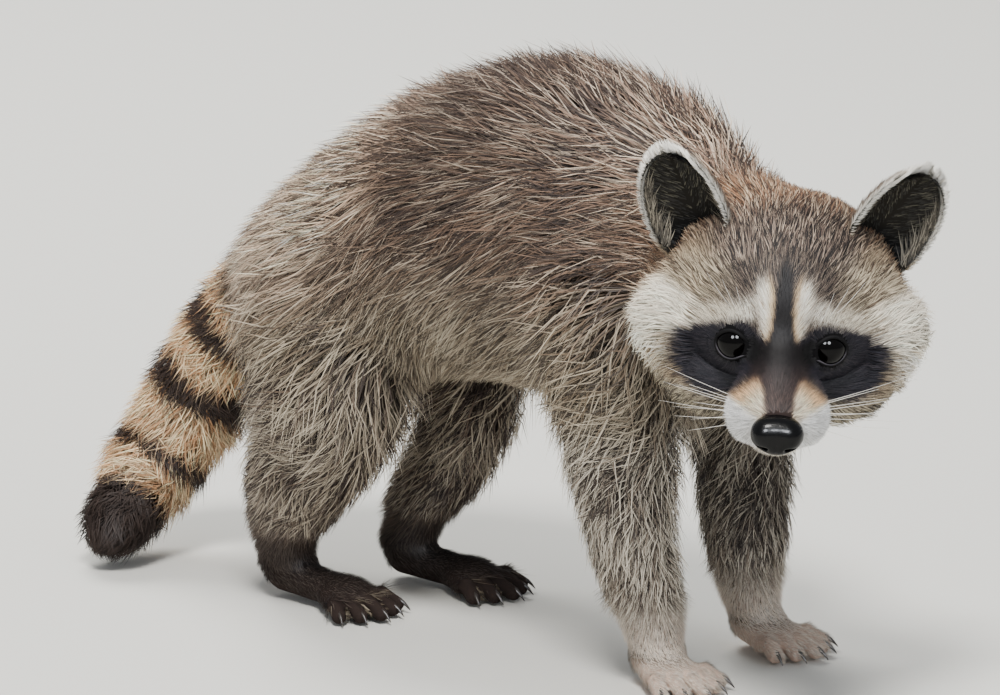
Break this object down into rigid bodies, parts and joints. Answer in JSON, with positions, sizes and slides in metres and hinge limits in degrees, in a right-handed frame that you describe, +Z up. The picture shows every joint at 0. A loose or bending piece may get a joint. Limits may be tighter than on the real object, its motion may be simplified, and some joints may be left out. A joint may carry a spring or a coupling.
{
  "type": "raccoon, life-size still model",
  "caption": "Young raccoon standing in mid-stride with a humped back, its low head turned to the side: a life-size still model with a thick grizzled coat and a ringed tail.",
  "frame": {"origin": "on the floor, under the middle of the model's box", "axes": "+Z up, -Y the way the trunk walks, +X to the animal's left"},
  "size_m": [0.1388, 0.3944, 0.2253],
  "materials": {
    "coat_body": "thick grizzled fur, black-tipped along the back, tan-grey on the flanks, cream below",
    "coat_face": "short facial fur with a blue-black mask, cream brow bands, white lips and cream ear rims",
    "coat_leg": "pale grey hairs over dark brown",
    "coat_tail": "bushy fur with dark and rusty-tan rings and a dark tip",
    "paw": "short velvety fur and bare leathery soles",
    "claw": "smooth horn",
    "eye": "wet glossy black-brown",
    "nose": "moist black leather with a fine pebble",
    "whisker": "stiff white bristle"
  },
  "bodies": {
    "root": {"chest": "coat_body", "rump": "coat_body", "neck": "coat_body", "head": "coat_face", "eye_left": "eye", "eye_right": "eye", "nose_pad": "nose", "ear_left": "coat_face", "ear_right": "coat_face", "foreleg_upper_left": "coat_leg", "foreleg_upper_right": "coat_leg", "foreleg_lower_left": "coat_leg", "foreleg_lower_right": "coat_leg", "forepaw_left": "paw", "forepaw_right": "paw", "hindleg_thigh_left": "coat_leg", "hindleg_thigh_right": "coat_leg", "hindleg_shank_left": "coat_leg", "hindleg_shank_right": "coat_leg", "hindfoot_left": "paw", "hindfoot_right": "paw", "tail_base": "coat_tail", "tail_middle": "coat_tail", "tail_tip": "coat_tail"}
  },
  "joints": []
}
